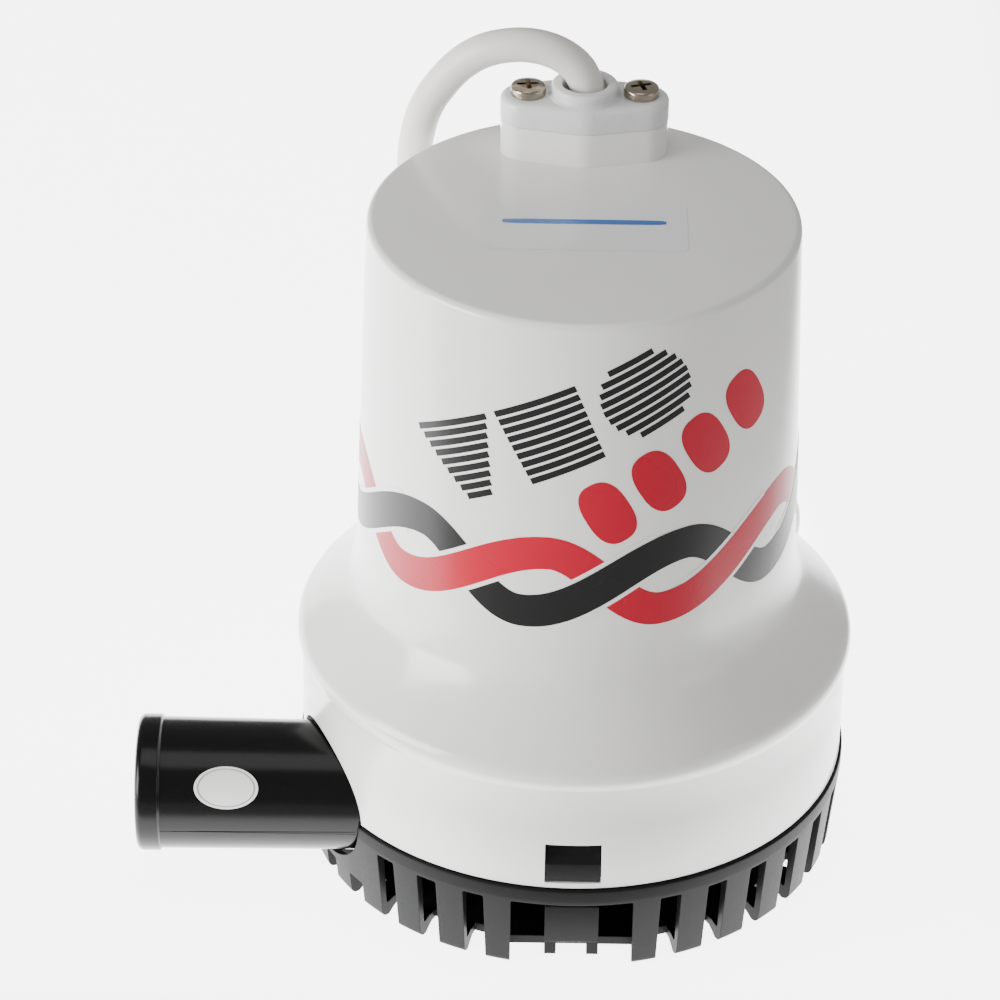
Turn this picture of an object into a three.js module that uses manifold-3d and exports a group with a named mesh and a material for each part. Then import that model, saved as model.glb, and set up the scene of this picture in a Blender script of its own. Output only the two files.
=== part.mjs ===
// Submersible bilge pump: a motor in a moulded bell housing, a centrifugal pump under it and a
// snap-off strainer base that is screwed to the hull. Millimetres, +Z up.
// The origin is on the pump's axis, in the plane that the strainer's feet stand on.
// The hose outlet points to -X and the two latches of the strainer are at -Y and +Y.

import * as THREE from 'three';
import { mergeVertices } from 'three/addons/utils/BufferGeometryUtils.js';
import Module from 'manifold-3d';

const wasm = await Module();
wasm.setup();

// ---- driving dimensions ------------------------------------------------------------------------

const GAP = 0.3;

const SKIRT_R = 79;
const SKIRT_FOOT_Z = 29.4;
const SKIRT_WALL = 3;
const CREASE_Z = 63.1;
const BELL_MAX_R = 80.3;
const BELL_MAX_Z = 67.6;
const BELL_TOP_Z = 96;
const BARREL_LOW_R = 63;
const BARREL_TOP_R = 59.9;
const HOUSING_TOP_Z = 200.9;
const HOUSING_EDGE_R = 2;
const BARREL_WALL = 3;
const LEDGE_Z = 49.5;
const LEDGE_THICK = 4;
const LEDGE_BORE_R = 54;

const LATCH_HALF_WIDTH = 7.9;
const LATCH_WINDOW_LOW_Z = 31.4;
const LATCH_WINDOW_HIGH_Z = 44.7;
const LATCH_HINGE_R = 68.6;
const LATCH_HINGE_Z = 6.6;
const LATCH_PAD_R = 78.4;
const LATCH_HOOK_R = 78.7;
const LATCH_TOP_Z = 46.5;
const LATCH_FOOT_WIDTH = 3.3;

const STRAINER_RIM_R = 79.8;
const STRAINER_FOOT_R = 77.3;
const STRAINER_RIM_Z = 29.1;
const STRAINER_WALL = 3;
const SLOT_TOP_Z = 24.1;
const SLOT_WIDTH = 6.3;
const SLOTS_PER_SIDE = 14;
const FIRST_SLOT_ANGLE = 20.6;
const LATCH_CUTOUT_ANGLE = 12.5;
const LOW_SLOT_TOP_Z = 8;
const PLATE_EDGE_R = 72;
const SLOT_ROOT_R = 69.3;
const PLATE_TOP_Z = 5.2;
const PLATE_THICK = 2.7;
const WELL_R = 53;
const WELL_DROP = 1.6;
const FOOT_PAD_R = 12;
const HULL_SCREW_R = 2.6;
const HULL_SCREW_CIRCLE_R = 42;

const OUTLET_Y = -31;
const OUTLET_Z = 29.3;
const OUTLET_R = 19.05;
const OUTLET_ROOT_R = 18.6;
const OUTLET_LIP_R = 19.8;
const OUTLET_LIP_LENGTH = 7.1;
const OUTLET_BORE_R = 15.2;
const OUTLET_END_X = -125.3;
const OUTLET_CLEAR_R = 20;
const OUTLET_NOTCH_R = 20.3;

const CHAMBER_R = 45;
const CHAMBER_WALL = 3;
const CHAMBER_LOW_Z = 12.3;
const CHAMBER_ROOF_Z = 42.5;
const FLANGE_R = 66.5;
const FLANGE_THICK = 3.7;
const COVER_THICK = 2.3;
const COVER_R = 51.5;
const EYE_R = 16;
const CASING_SCREW_CIRCLE_R = 63.6;
const CASING_SCREW_R = 1.5;
const O_RING_R = 59.3;
const O_RING_SECTION_R = 0.85;

const GLAND_Y = 39.2;
const GLAND_MID_R = 11.2;
const GLAND_END_R = 7.7;
const GLAND_SCREW_X = 15.85;
const BOSS_TOP_Z = 211;
const CAP_TOP_Z = 218.4;
const COLLAR_R = 9.35;
const COLLAR_TOP_Z = 222;
const COLLAR_BORE_R = 6.3;
const SEAL_INNER_R = 5.6;
const SEAL_OUTER_R = 7.7;
const GLAND_SCREW_R = 2.5;
const PAN_HEAD_R = 5;
const PAN_HEAD_H = 3;

const SHAFT_R = 4;
const SHAFT_TOP_Z = 186.5;
const IMPELLER_R = 35;
const VANE_COUNT = 6;
const VANE_LOW_Z = 14.6;
const CAN_R = 50;
const CAN_WALL = 2.5;
const CAN_TOP_Z = 183;
const LEAD_HOLE_R = 2.6;
const LEAD_HOLE_X = 24;
const BRACKET_Z = LEDGE_Z + LEDGE_THICK + GAP;
const BEARING_R = 11;
const CORE_R = 33;
const CORE_LOW_Z = 82;
const CORE_HIGH_Z = 137;
const WINDING_OVERHANG = 10.5;
const CARD_Z = 151;
const BOX_INNER_X = 18;
const BOX_OUTER_X = 40;
const COMMUTATOR_R = 13;
const COMMUTATOR_Z = 148.5;
const BRUSH_Z = 158.3;
const SPRING_START_X = 25;
const SPRING_LENGTH = 12.8;
const SPRING_R = 2.6;

const CORD_R = 4.9;
const COIL_CENTRE = [16, 154];
const COIL_INNER_R = 35;
const COIL_OUTER_R = 65;

const FINE = 44;
const COARSE = 20;

// ---- shapes ------------------------------------------------------------------------------------

function solidOf(geometry) {
  const bare = geometry.clone();
  bare.deleteAttribute('normal');
  bare.deleteAttribute('uv');
  const merged = mergeVertices(bare, 1e-4);
  return new wasm.Manifold(new wasm.Mesh({
    numProp: 3,
    vertProperties: new Float32Array(merged.attributes.position.array),
    triVerts: new Uint32Array(merged.index.array),
  }));
}

function geometryOf(solid) {
  const mesh = solid.getMesh();
  const geometry = new THREE.BufferGeometry();
  geometry.setAttribute('position', new THREE.BufferAttribute(mesh.vertProperties, 3));
  geometry.setIndex(new THREE.BufferAttribute(mesh.triVerts, 1));
  geometry.computeVertexNormals();
  return geometry;
}

function join(...geometries) {
  return geometryOf(geometries.map(solidOf).reduce((all, next) => all.add(next)));
}

function cut(geometry, ...tools) {
  return geometryOf(tools.map(solidOf).reduce((left, tool) => left.subtract(tool), solidOf(geometry)));
}

// A turned solid about +Z from [radius, height] points that run up its outside.
function turned(profile, segments = COARSE) {
  const points = profile.map(([r, z]) => new THREE.Vector2(r, z));
  if (profile[0][0] > 0) points.push(points[0].clone());
  return new THREE.LatheGeometry(points, segments).rotateX(Math.PI / 2);
}

function ring(innerR, outerR, lowZ, highZ, segments = COARSE) {
  return turned([[innerR, lowZ], [outerR, lowZ], [outerR, highZ], [innerR, highZ]], segments);
}

function post(r, lowZ, highZ, segments = COARSE) {
  return turned([[0, lowZ], [r, lowZ], [r, highZ], [0, highZ]], segments);
}

function block(x0, x1, y0, y1, z0, z1) {
  const box = new THREE.BoxGeometry(x1 - x0, y1 - y0, z1 - z0);
  return box.translate((x0 + x1) / 2, (y0 + y1) / 2, (z0 + z1) / 2);
}

function prism(outline, lowZ, highZ, curveSegments = 6) {
  const settings = { depth: highZ - lowZ, bevelEnabled: false, curveSegments };
  return new THREE.ExtrudeGeometry(outline, settings).translate(0, 0, lowZ);
}

function outlineOf(points) {
  return new THREE.Shape(points.map(([x, y]) => new THREE.Vector2(x, y)));
}

// A solid that stands upright from an outline in radius and height, spread along X, facing -Y.
function frontProfile(points, halfWidth) {
  const slab = prism(outlineOf(points), -halfWidth, halfWidth);
  const toFront = new THREE.Matrix4().set(0, 0, -1, 0, -1, 0, 0, 0, 0, 1, 0, 0, 0, 0, 0, 1);
  return slab.applyMatrix4(toFront);
}

function rodAlong(points, radius, sides, steps) {
  const curve = new THREE.CatmullRomCurve3(points.map((p) => new THREE.Vector3(...p)));
  const corners = Array.from({ length: sides }, (_, i) => {
    const angle = 2 * Math.PI * i / sides;
    return [radius * Math.cos(angle), radius * Math.sin(angle)];
  });
  return new THREE.ExtrudeGeometry(outlineOf(corners), { steps, extrudePath: curve, bevelEnabled: false });
}

function outletCylinder(radius, fromX, toX, segments = COARSE) {
  const rod = post(radius, fromX, toX, segments).rotateY(Math.PI / 2);
  return rod.translate(0, OUTLET_Y, OUTLET_Z);
}

function degrees(angle) {
  return angle * Math.PI / 180;
}

// ---- materials ---------------------------------------------------------------------------------

function finish(color, roughness, metalness = 0) {
  return new THREE.MeshStandardMaterial({ color, roughness, metalness });
}

const whiteAbs = finish(0xeeeeec, 0.25);
const gland = finish(0xe9eaea, 0.3);
const blackAbs = finish(0x161616, 0.25);
const greyNylon = finish(0x3a3c3d, 0.5);
const stainless = finish(0xb9b2a8, 0.3, 1);
const steel = finish(0x8d9094, 0.4, 1);
const zincSteel = finish(0xa8abad, 0.35, 1);
const brass = finish(0xb08d4a, 0.35, 1);
const copper = finish(0xb4633a, 0.35, 1);
const ferrite = finish(0x2e2e31, 0.7);
const carbon = finish(0x1d1d1f, 0.6);
const rubber = finish(0x1a1a1a, 0.8);
const phenolic = finish(0x6a4a2c, 0.6);
const sheath = finish(0xe6e4de, 0.5);
const brownPvc = finish(0x5a3620, 0.5);
const blackPvc = finish(0x1b1b1c, 0.5);

const pump = new THREE.Group();

function add(name, geometry, material) {
  const mesh = new THREE.Mesh(geometry, material);
  mesh.name = name;
  pump.add(mesh);
}

// ---- strainer base and its two latch tabs ------------------------------------------------------

function radialSlot(angle, halfWidths, topZ) {
  const slot = block(SLOT_ROOT_R, STRAINER_RIM_R + 3, ...halfWidths, -1, topZ);
  return slot.rotateZ(degrees(angle));
}

function strainerBase() {
  const innerR = STRAINER_RIM_R - STRAINER_WALL;
  const plateLowZ = PLATE_TOP_Z - PLATE_THICK;
  const wellTopZ = PLATE_TOP_Z - WELL_DROP;
  const wellLowZ = plateLowZ - WELL_DROP + 0.1;
  const bowl = turned([
    [0, 0], [FOOT_PAD_R, 0], [FOOT_PAD_R, wellLowZ], [WELL_R, wellLowZ], [WELL_R + 2, plateLowZ],
    [PLATE_EDGE_R - 0.6, plateLowZ], [PLATE_EDGE_R + 1.2, plateLowZ - 1.2], [STRAINER_FOOT_R - 2.4, 0],
    [STRAINER_FOOT_R - 1.4, 0], [STRAINER_FOOT_R - 0.2, 0.5], [STRAINER_FOOT_R + 0.4, 2],
    [STRAINER_RIM_R, SLOT_TOP_Z + 1],
    [STRAINER_RIM_R, STRAINER_RIM_Z - 0.4], [STRAINER_RIM_R - 0.4, STRAINER_RIM_Z], [innerR, STRAINER_RIM_Z],
    [innerR, SLOT_TOP_Z], [innerR - 1, PLATE_TOP_Z - 1], [PLATE_EDGE_R + 0.8, PLATE_TOP_Z],
    [WELL_R + 1, PLATE_TOP_Z], [WELL_R - 1, wellTopZ], [0, wellTopZ],
  ], 56);
  const tools = [];
  const pitch = (180 - 2 * FIRST_SLOT_ANGLE) / (SLOTS_PER_SIDE - 1);
  for (const side of [1, -1]) {
    for (let i = 0; i < SLOTS_PER_SIDE; i += 1) {
      const fromFront = FIRST_SLOT_ANGLE + pitch * i;
      const underOutlet = side < 0 && fromFront > 50 && fromFront < 82;
      const topZ = underOutlet ? LOW_SLOT_TOP_Z : SLOT_TOP_Z;
      tools.push(radialSlot(-90 + side * fromFront, [-SLOT_WIDTH / 2, SLOT_WIDTH / 2], topZ));
    }
  }
  const halfCutout = STRAINER_RIM_R * Math.sin(degrees(LATCH_CUTOUT_ANGLE));
  for (const angle of [-90, 90]) {
    tools.push(radialSlot(angle, [-halfCutout, halfCutout], SLOT_TOP_Z));
  }
  tools.push(outletCylinder(OUTLET_NOTCH_R, -90, -55, 24));
  const notchTop = [OUTLET_Y - OUTLET_NOTCH_R, OUTLET_Y + OUTLET_NOTCH_R];
  tools.push(block(-90, -55, ...notchTop, OUTLET_Z, OUTLET_Z + 5));
  for (const angle of [45, 135, 225, 315]) {
    const hole = post(HULL_SCREW_R, -1, PLATE_TOP_Z, 12).translate(HULL_SCREW_CIRCLE_R, 0, 0);
    tools.push(hole.rotateZ(degrees(angle)));
  }
  return cut(bowl, ...tools);
}

// The tab springs from a rounded root at the edge of the base plate. Its pad is pressed under the rim, and its
// hook stands in the housing's window behind the skirt's edge.
function latchTab() {
  const halfWidth = LATCH_HALF_WIDTH - GAP;
  const outerR = SKIRT_R - SKIRT_WALL - 0.9;
  const innerR = outerR - 1.5;
  const hook = frontProfile([
    [LATCH_HINGE_R + 0.4, 7.4], [innerR + 1, 9.7], [LATCH_PAD_R, 9.7], [LATCH_PAD_R, 23], [outerR, 23],
    [outerR, LATCH_WINDOW_LOW_Z + GAP], [LATCH_HOOK_R, LATCH_WINDOW_LOW_Z + GAP], [LATCH_HOOK_R, 38],
    [outerR, 41], [outerR, LATCH_TOP_Z], [innerR, LATCH_TOP_Z], [innerR, 12], [LATCH_HINGE_R - 0.6, 7.4],
  ], halfWidth);
  const root = post(1, -halfWidth, halfWidth, 12).rotateY(Math.PI / 2);
  root.translate(0, -LATCH_HINGE_R, LATCH_HINGE_Z);
  const footX = halfWidth - LATCH_FOOT_WIDTH / 2;
  const feet = [1, -1].map((side) => {
    const edges = [side * footX - LATCH_FOOT_WIDTH / 2, side * footX + LATCH_FOOT_WIDTH / 2];
    return block(...edges, 0.2 - LATCH_PAD_R, -innerR - 1.2, 5.8, 10);
  });
  return join(hook, root, ...feet);
}

add('strainer_base', strainerBase(), greyNylon);
add('latch_tab_front', latchTab(), greyNylon);
add('latch_tab_rear', latchTab().rotateZ(Math.PI), greyNylon);

// ---- motor housing with its gland boss ---------------------------------------------------------

function glandOutline() {
  const lean = Math.acos((GLAND_MID_R - GLAND_END_R) / GLAND_SCREW_X);
  const outline = new THREE.Shape();
  outline.absarc(GLAND_SCREW_X, 0, GLAND_END_R, -lean, lean, false);
  outline.absarc(0, 0, GLAND_MID_R, lean, Math.PI - lean, false);
  outline.absarc(-GLAND_SCREW_X, 0, GLAND_END_R, Math.PI - lean, Math.PI + lean, false);
  outline.absarc(0, 0, GLAND_MID_R, Math.PI + lean, 2 * Math.PI - lean, false);
  return outline;
}

// The bell flares out of the barrel in an ogee: hollow at the top, round at its widest.
function bellProfile() {
  const flare = [[79.5, 70], [76, 73.8], [70.8, 79.5], [66.3, 85.2], [64.2, 89.3]];
  return [[BELL_MAX_R - 0.2, BELL_MAX_Z - 2], [BELL_MAX_R, BELL_MAX_Z], ...flare, [BARREL_LOW_R, BELL_TOP_Z]];
}

// The same curve one wall further in, from the barrel down to the skirt.
function bellInside() {
  const curve = bellProfile();
  const inside = [];
  for (let i = curve.length - 2; i > 1; i -= 1) {
    const run = [curve[i + 1][0] - curve[i - 1][0], curve[i + 1][1] - curve[i - 1][1]];
    const shift = BARREL_WALL / Math.hypot(...run);
    inside.push([curve[i][0] - run[1] * shift, curve[i][1] + run[0] * shift]);
  }
  return inside.filter(([r]) => r < SKIRT_R - SKIRT_WALL - 0.5);
}

function motorHousing() {
  const innerSkirtR = SKIRT_R - SKIRT_WALL;
  const ledgeTopZ = LEDGE_Z + LEDGE_THICK;
  const roofZ = HOUSING_TOP_Z - BARREL_WALL;
  const shell = turned([
    [innerSkirtR, SKIRT_FOOT_Z], [SKIRT_R, SKIRT_FOOT_Z], [SKIRT_R, CREASE_Z], ...bellProfile(),
    [BARREL_TOP_R, HOUSING_TOP_Z - HOUSING_EDGE_R],
    [BARREL_TOP_R - 0.29 * HOUSING_EDGE_R, HOUSING_TOP_Z - 0.29 * HOUSING_EDGE_R],
    [BARREL_TOP_R - HOUSING_EDGE_R, HOUSING_TOP_Z], [0, HOUSING_TOP_Z], [0, roofZ],
    [BARREL_TOP_R - BARREL_WALL, roofZ], [BARREL_LOW_R - BARREL_WALL, BELL_TOP_Z], ...bellInside(),
    [innerSkirtR, CREASE_Z + 4], [innerSkirtR, ledgeTopZ], [LEDGE_BORE_R, ledgeTopZ],
    [LEDGE_BORE_R, LEDGE_Z], [innerSkirtR, LEDGE_Z],
  ], FINE);
  const boss = prism(glandOutline(), HOUSING_TOP_Z - 1, BOSS_TOP_Z).translate(0, GLAND_Y, 0);
  const tools = [];
  for (const side of [1, -1]) {
    tools.push(block(-LATCH_HALF_WIDTH, LATCH_HALF_WIDTH, side > 0 ? 60 : -90, side > 0 ? 90 : -60,
      LATCH_WINDOW_LOW_Z, LATCH_WINDOW_HIGH_Z));
    const pilot = post(GLAND_SCREW_R + GAP, BOSS_TOP_Z - 7.3, BOSS_TOP_Z + 1, 12);
    tools.push(pilot.translate(side * GLAND_SCREW_X, GLAND_Y, 0));
  }
  tools.push(post(COLLAR_BORE_R, roofZ - 1, BOSS_TOP_Z + 1).translate(0, GLAND_Y, 0));
  tools.push(post(8, BOSS_TOP_Z - 6.3, BOSS_TOP_Z + 1).translate(0, GLAND_Y, 0));
  tools.push(outletCylinder(OUTLET_CLEAR_R, -90, -55, 24));
  const notch = [OUTLET_Y - OUTLET_CLEAR_R + 0.05, OUTLET_Y + OUTLET_CLEAR_R - 0.05];
  tools.push(block(-90, -55, ...notch, SKIRT_FOOT_Z - 2, OUTLET_Z + 0.5));
  for (const angle of [0, 90, 180, 270]) {
    const pilot = post(CASING_SCREW_R + GAP, LEDGE_Z - 1, LEDGE_Z + LEDGE_THICK + 1, 12);
    tools.push(pilot.translate(CASING_SCREW_CIRCLE_R, 0, 0).rotateZ(degrees(angle)));
  }
  return cut(join(shell, boss), ...tools);
}

add('motor_housing', motorHousing(), whiteAbs);

// ---- cable gland -------------------------------------------------------------------------------

function glandCap() {
  const lowZ = BOSS_TOP_Z + GAP;
  const plate = prism(glandOutline(), lowZ, CAP_TOP_Z);
  const collar = post(COLLAR_R, lowZ, COLLAR_TOP_Z);
  const tools = [post(COLLAR_BORE_R, lowZ - 1, COLLAR_TOP_Z + 1)];
  for (const side of [1, -1]) {
    tools.push(post(GLAND_SCREW_R + GAP, lowZ - 1, CAP_TOP_Z + 1, 12).translate(side * GLAND_SCREW_X, 0, 0));
  }
  return cut(join(plate, collar), ...tools).translate(0, GLAND_Y, 0);
}

// A pan-head machine screw, head upwards, with a cross recess.
function panScrew(shankR, shankLength, headR, headHeight) {
  const body = turned([
    [0, -shankLength], [shankR - 0.5, -shankLength], [shankR, -shankLength + 0.7], [shankR, 0], [headR, 0],
    [headR, 0.6 * headHeight], [0.88 * headR, 0.88 * headHeight], [0, headHeight],
  ], 12);
  const arm = 0.5 * headR;
  const slot = 0.12 * headR;
  const depth = 0.4 * headHeight;
  const top = headHeight + 1;
  return cut(body, block(-arm, arm, -slot, slot, depth, top), block(-slot, slot, -arm, arm, depth, top));
}

add('gland_cap', glandCap(), gland);
const grommet = ring(SEAL_INNER_R, SEAL_OUTER_R, BOSS_TOP_Z - 6, BOSS_TOP_Z - 1.1);
const washer = ring(SEAL_INNER_R, SEAL_OUTER_R, BOSS_TOP_Z - 0.8, BOSS_TOP_Z);
add('gland_grommet', grommet.translate(0, GLAND_Y, 0), rubber);
add('gland_washer', washer.translate(0, GLAND_Y, 0), brass);
for (const [name, side, turn] of [['gland_screw_left', -1, 0.1], ['gland_screw_right', 1, 0.3]]) {
  const screw = panScrew(GLAND_SCREW_R, 12.5, PAN_HEAD_R, PAN_HEAD_H).rotateZ(turn);
  add(name, screw.translate(side * GLAND_SCREW_X, GLAND_Y, CAP_TOP_Z + GAP), stainless);
}

// ---- pump casing under the motor ---------------------------------------------------------------

function outletTube() {
  const length = -OUTLET_END_X;
  const lipStart = length - OUTLET_LIP_LENGTH;
  const tube = turned([
    [0, 0], [OUTLET_ROOT_R, 0], [OUTLET_ROOT_R, SKIRT_R - 20], [OUTLET_R, lipStart],
    [OUTLET_LIP_R, lipStart + 0.6], [OUTLET_LIP_R, length - 1.6], [OUTLET_LIP_R - 0.5, length - 0.5],
    [OUTLET_LIP_R - 1.6, length], [0, length],
  ], 28);
  return tube.rotateY(-Math.PI / 2).translate(0, OUTLET_Y, OUTLET_Z);
}

function voluteCasing() {
  const outerR = CHAMBER_R + CHAMBER_WALL;
  const flangeTopZ = LEDGE_Z - GAP;
  const flangeLowZ = flangeTopZ - FLANGE_THICK;
  const body = turned([
    [0, CHAMBER_LOW_Z], [outerR, CHAMBER_LOW_Z], [outerR, flangeLowZ], [FLANGE_R, flangeLowZ],
    [FLANGE_R, flangeTopZ], [12, flangeTopZ], [12, flangeTopZ + 3.7], [0, flangeTopZ + 3.7],
  ], FINE);
  const tools = [
    post(CHAMBER_R, CHAMBER_LOW_Z - 5, CHAMBER_ROOF_Z, FINE),
    outletCylinder(OUTLET_BORE_R, OUTLET_END_X - 1, 0, 28),
    post(COVER_R + 0.4, 0, CHAMBER_LOW_Z, FINE),
    post(9 + GAP, CHAMBER_ROOF_Z - 1, flangeTopZ + 5),
    ring(O_RING_R - 1.4, O_RING_R + 1.4, flangeTopZ - 2.1, flangeTopZ + 1, 28),
  ];
  for (const angle of [0, 90, 180, 270]) {
    const hole = post(CASING_SCREW_R + GAP, flangeLowZ - 1, flangeTopZ + 1, 12);
    tools.push(hole.translate(CASING_SCREW_CIRCLE_R, 0, 0).rotateZ(degrees(angle)));
  }
  return cut(join(body, outletTube()), ...tools);
}

add('volute_casing', voluteCasing(), blackAbs);
const coverTopZ = CHAMBER_LOW_Z - GAP;
add('volute_cover', ring(EYE_R, COVER_R, coverTopZ - COVER_THICK, coverTopZ, 32), blackAbs);
[0, 90, 180, 270].forEach((angle, i) => {
  const screw = panScrew(CASING_SCREW_R, 7.8, 2.9, 2.3).rotateX(Math.PI);
  screw.translate(CASING_SCREW_CIRCLE_R, 0, LEDGE_Z - FLANGE_THICK - 2 * GAP).rotateZ(degrees(angle));
  add(`casing_screw_${i + 1}`, screw, stainless);
});
add('housing_o_ring', turned([0, 1, 2, 3].map((k) => {
  const angle = degrees(90 * k - 90);
  const height = LEDGE_Z - GAP - O_RING_SECTION_R - 0.1;
  return [O_RING_R + O_RING_SECTION_R * Math.cos(angle), height + O_RING_SECTION_R * Math.sin(angle)];
}), 28), rubber);
add('shaft_seal', ring(SHAFT_R + 0.35, 9, CHAMBER_ROOF_Z + 0.5, LEDGE_Z + 2.8), rubber);

// ---- motor -------------------------------------------------------------------------------------

const canInnerR = CAN_R - CAN_WALL;
const bracketTopZ = BRACKET_Z + 3;

function motorBracket() {
  return turned([
    [BEARING_R - 4, BRACKET_Z], [55.5, BRACKET_Z], [55.5, bracketTopZ], [BEARING_R + 3, bracketTopZ],
    [BEARING_R + 3, BRACKET_Z + 8], [BEARING_R + GAP, BRACKET_Z + 8], [BEARING_R + GAP, BRACKET_Z + 1.5],
    [BEARING_R - 4, BRACKET_Z + 1.5],
  ], 24);
}

function motorCan() {
  const shell = turned([
    [canInnerR, bracketTopZ + GAP], [CAN_R, bracketTopZ + GAP], [CAN_R, CAN_TOP_Z],
    [BEARING_R + 2.3, CAN_TOP_Z], [BEARING_R + 2.3, CAN_TOP_Z + 4], [BEARING_R + GAP, CAN_TOP_Z + 4],
    [BEARING_R + GAP, CAN_TOP_Z - CAN_WALL], [canInnerR, CAN_TOP_Z - CAN_WALL],
  ], 28);
  const leadHoles = [1, -1].map((side) => {
    return post(LEAD_HOLE_R, CAN_TOP_Z - 4, CAN_TOP_Z + 2, 12).translate(side * LEAD_HOLE_X, 0, 0);
  });
  return cut(shell, ...leadHoles);
}

function magnetArc() {
  const half = degrees(68);
  const outline = new THREE.Shape();
  outline.absarc(0, 0, canInnerR - 0.6, -half, half, false);
  outline.absarc(0, 0, CORE_R + 4, half, -half, true);
  return prism(outline, CORE_LOW_Z - 8, CORE_HIGH_Z + 8, 10);
}

function brushCard() {
  const disc = ring(COMMUTATOR_R + 2.6, canInnerR - 1, CARD_Z, CARD_Z + 2, 28);
  const walls = [];
  const lowZ = CARD_Z + 1;
  const topZ = CARD_Z + 12;
  for (const turn of [0, Math.PI]) {
    const near = block(BOX_INNER_X, BOX_OUTER_X, -5.8, -4.4, lowZ, topZ);
    const far = block(BOX_INNER_X, BOX_OUTER_X, 4.4, 5.8, lowZ, topZ);
    const end = block(BOX_OUTER_X - 1.4, BOX_OUTER_X, -5, 5, lowZ, topZ);
    walls.push(near.rotateZ(turn), far.rotateZ(turn), end.rotateZ(turn));
  }
  return join(disc, ...walls);
}

function brushSpring() {
  const turns = 4;
  const pointsPerTurn = 8;
  const points = [];
  for (let i = 0; i <= turns * pointsPerTurn; i += 1) {
    const angle = 2 * Math.PI * i / pointsPerTurn;
    const x = SPRING_START_X + SPRING_LENGTH * i / (turns * pointsPerTurn);
    points.push([x, SPRING_R * Math.cos(angle), BRUSH_Z + SPRING_R * Math.sin(angle)]);
  }
  return rodAlong(points, 0.45, 4, turns * pointsPerTurn);
}

function lead(side) {
  return rodAlong([
    [side * 1.7, GLAND_Y, 191], [side * 3, GLAND_Y - 2, 189.5], [side * 12, 26, 188], [side * 22, 8, 188.5],
    [side * 24, 1, 185], [side * 24, 0, 179], [side * 27, 0, 172], [side * 31, 0, 167], [side * 32, 0, 164.5],
  ], 1.1, 5, 16);
}

add('motor_bracket', motorBracket(), steel);
add('motor_can', motorCan(), zincSteel);
add('magnet_rear', magnetArc().rotateZ(Math.PI / 2), ferrite);
add('magnet_front', magnetArc().rotateZ(-Math.PI / 2), ferrite);
add('lower_bearing', ring(SHAFT_R + 0.35, BEARING_R, BRACKET_Z + 1.8, BRACKET_Z + 7.6), steel);
add('upper_bearing', ring(SHAFT_R + 0.35, BEARING_R, CAN_TOP_Z - 2.5, CAN_TOP_Z + 3.3), steel);
add('brush_card', brushCard(), phenolic);
for (const [name, side] of [['left', -1], ['right', 1]]) {
  const turn = side > 0 ? 0 : Math.PI;
  const brush = block(COMMUTATOR_R + 0.4, 24.2, -4.05, 4.05, BRUSH_Z - 4.9, BRUSH_Z + 4.9);
  add(`brush_${name}`, brush.rotateZ(turn), carbon);
  add(`brush_spring_${name}`, brushSpring().rotateZ(turn), steel);
}
add('lead_brown', lead(-1), brownPvc);
add('lead_black', lead(1), blackPvc);

// ---- rotor -------------------------------------------------------------------------------------

function rotorShaft() {
  return turned([
    [0, 14], [2.6, 14], [3, 14.5], [3, 19.8], [SHAFT_R, 19.8], [SHAFT_R, SHAFT_TOP_Z - 0.5],
    [SHAFT_R - 0.5, SHAFT_TOP_Z], [0, SHAFT_TOP_Z],
  ], 24);
}

const SLOT_COUNT = 8;

function armatureCore() {
  const stack = ring(SHAFT_R + GAP, CORE_R, CORE_LOW_Z, CORE_HIGH_Z, 32);
  const tools = [];
  for (let i = 0; i < SLOT_COUNT; i += 1) {
    const turn = 2 * Math.PI * i / SLOT_COUNT;
    tools.push(block(17, 30, -4, 4, CORE_LOW_Z - 1, CORE_HIGH_Z + 1).rotateZ(turn));
    tools.push(block(29, CORE_R + 1, -1.3, 1.3, CORE_LOW_Z - 1, CORE_HIGH_Z + 1).rotateZ(turn));
  }
  return cut(stack, ...tools);
}

function armatureWinding() {
  const pieces = [ring(9, 30, CORE_HIGH_Z + GAP, CORE_HIGH_Z + WINDING_OVERHANG),
    ring(9, 30, CORE_LOW_Z - WINDING_OVERHANG, CORE_LOW_Z - GAP)];
  for (let i = 0; i < SLOT_COUNT; i += 1) {
    const bar = block(17.5, 29.4, -3.6, 3.6, CORE_LOW_Z - 3, CORE_HIGH_Z + 3);
    pieces.push(bar.rotateZ(2 * Math.PI * i / SLOT_COUNT));
  }
  return join(...pieces);
}

function commutator() {
  const drum = turned([
    [SHAFT_R + GAP, COMMUTATOR_Z], [COMMUTATOR_R + 1.2, COMMUTATOR_Z], [COMMUTATOR_R + 1.2, COMMUTATOR_Z + 3],
    [COMMUTATOR_R, COMMUTATOR_Z + 3.7], [COMMUTATOR_R, COMMUTATOR_Z + 18], [SHAFT_R + GAP, COMMUTATOR_Z + 18],
  ], 24);
  const grooves = [];
  for (let i = 0; i < SLOT_COUNT; i += 1) {
    const turn = 2 * Math.PI * (i + 0.5) / SLOT_COUNT;
    grooves.push(block(COMMUTATOR_R - 0.9, COMMUTATOR_R + 2, -0.3, 0.3, COMMUTATOR_Z - 1,
      COMMUTATOR_Z + 19).rotateZ(turn));
  }
  return cut(drum, ...grooves);
}

function vaneOutline() {
  const outer = [];
  const inner = [];
  for (let i = 0; i <= 4; i += 1) {
    const t = i / 4;
    const r = 6.5 + (IMPELLER_R - 7.2) * t;
    const angle = -0.95 * t;
    const half = 0.9 / r;
    outer.push([r * Math.cos(angle - half), r * Math.sin(angle - half)]);
    inner.push([r * Math.cos(angle + half), r * Math.sin(angle + half)]);
  }
  return outlineOf([...outer, ...inner.reverse()]);
}

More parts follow.
